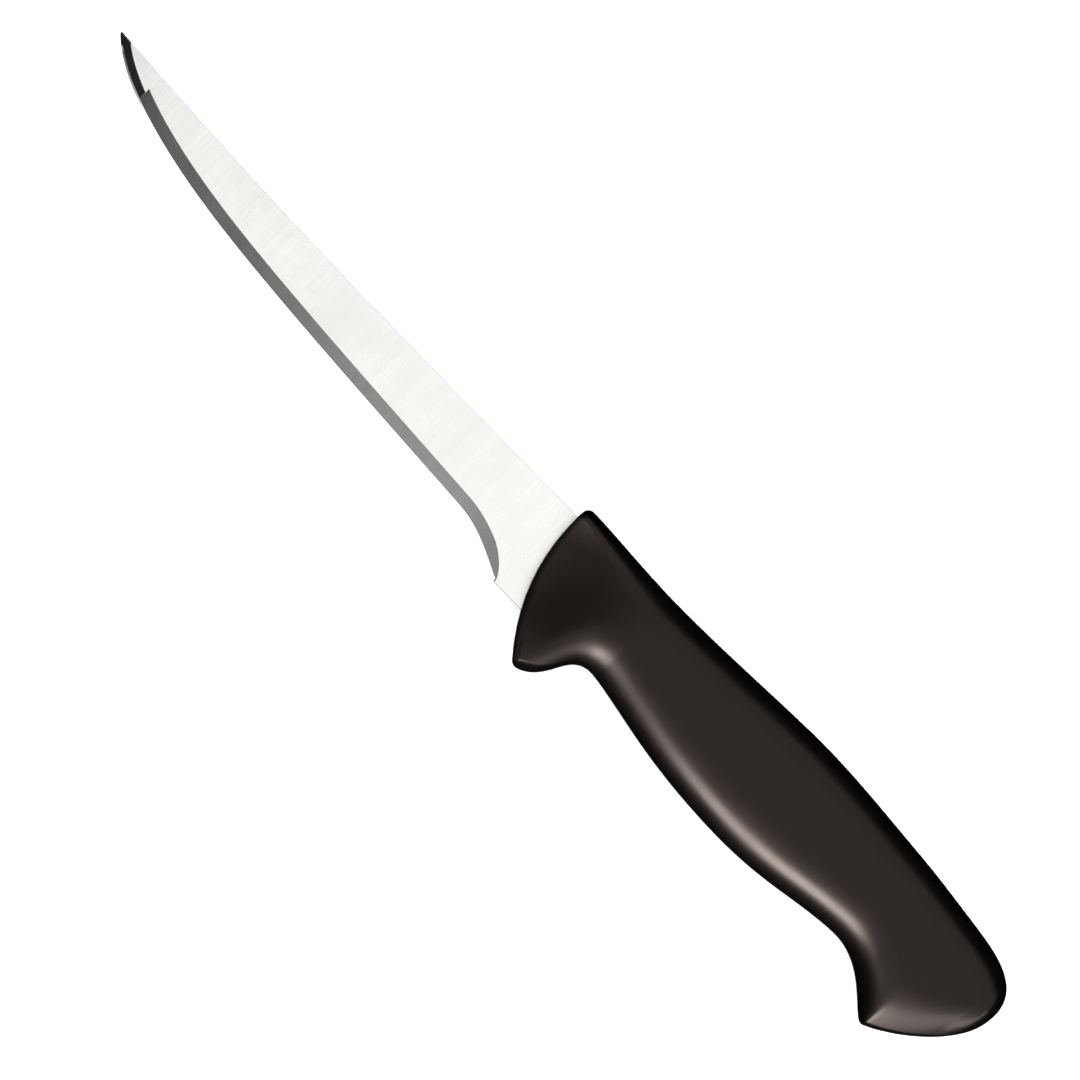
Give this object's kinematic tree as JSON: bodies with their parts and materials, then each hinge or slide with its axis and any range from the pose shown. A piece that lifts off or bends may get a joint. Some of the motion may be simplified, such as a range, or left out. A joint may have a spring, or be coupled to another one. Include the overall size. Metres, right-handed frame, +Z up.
{
  "type": "boning knife",
  "caption": "Boning knife: slim upswept steel blade with a plain ground edge, moulded into a black plastic handle with a finger guard and a hooked pommel.",
  "frame": {"origin": "middle of the knife's footprint, on the surface that it lies on", "axes": "+X towards the tip, +Y towards the cutting edge, +Z up, square to the blade's flat sides"},
  "size_m": [0.2586, 0.033, 0.02],
  "materials": {
    "steel": "satin ground stainless, with a ground band along the edge",
    "plastic": "brown-black moulded plastic with a fine pebbled grain"
  },
  "bodies": {
    "root": {"blade": "steel", "handle": "plastic"}
  },
  "joints": []
}
